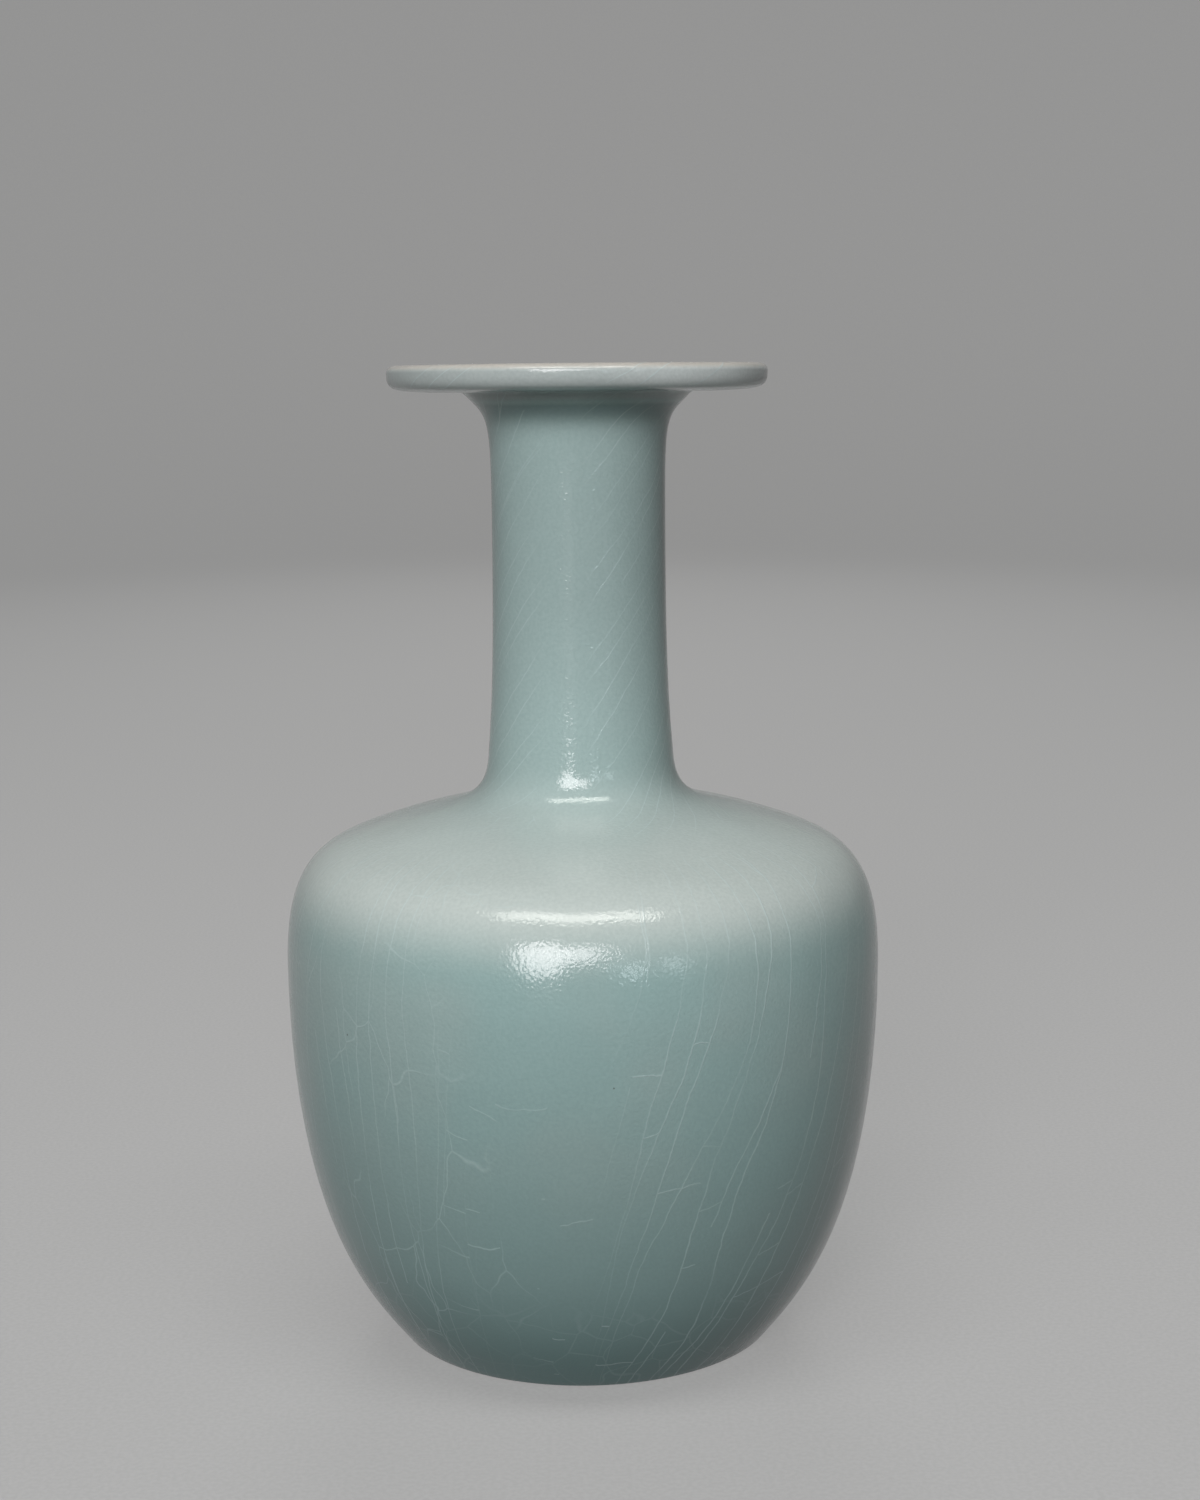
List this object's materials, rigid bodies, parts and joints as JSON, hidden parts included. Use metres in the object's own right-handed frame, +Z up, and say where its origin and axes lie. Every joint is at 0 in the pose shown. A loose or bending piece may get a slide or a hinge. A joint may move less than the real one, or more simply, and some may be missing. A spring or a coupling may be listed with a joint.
{
  "type": "dish-mouth vase",
  "caption": "Tall-necked stoneware vase with a shallow dish mouth, rounded shoulder and tapering body, in pale crackled glaze.",
  "frame": {"origin": "centre of the foot ring on the surface that the vase stands on", "axes": "+Z up along the turning axis, from the foot to the dish mouth; X and Y are level and interchangeable, because the vase is round"},
  "size_m": [0.1366, 0.1366, 0.2234],
  "materials": {
    "glaze": "satin-gloss blue-green glaze with pale crackle lines",
    "clay": "fired grey-buff stoneware, bare on the foot ring",
    "slip": "fired luting slip, matt"
  },
  "bodies": {
    "root": {"belly": "clay", "belly_shoulder_seam": "slip", "shoulder": "clay", "shoulder_neck_seam": "slip", "neck_tube": "clay", "neck_dish_seam": "slip", "dish_mouth": "clay", "outer_glaze": "glaze", "inner_glaze": "glaze", "foot_well_glaze": "glaze"}
  },
  "joints": []
}
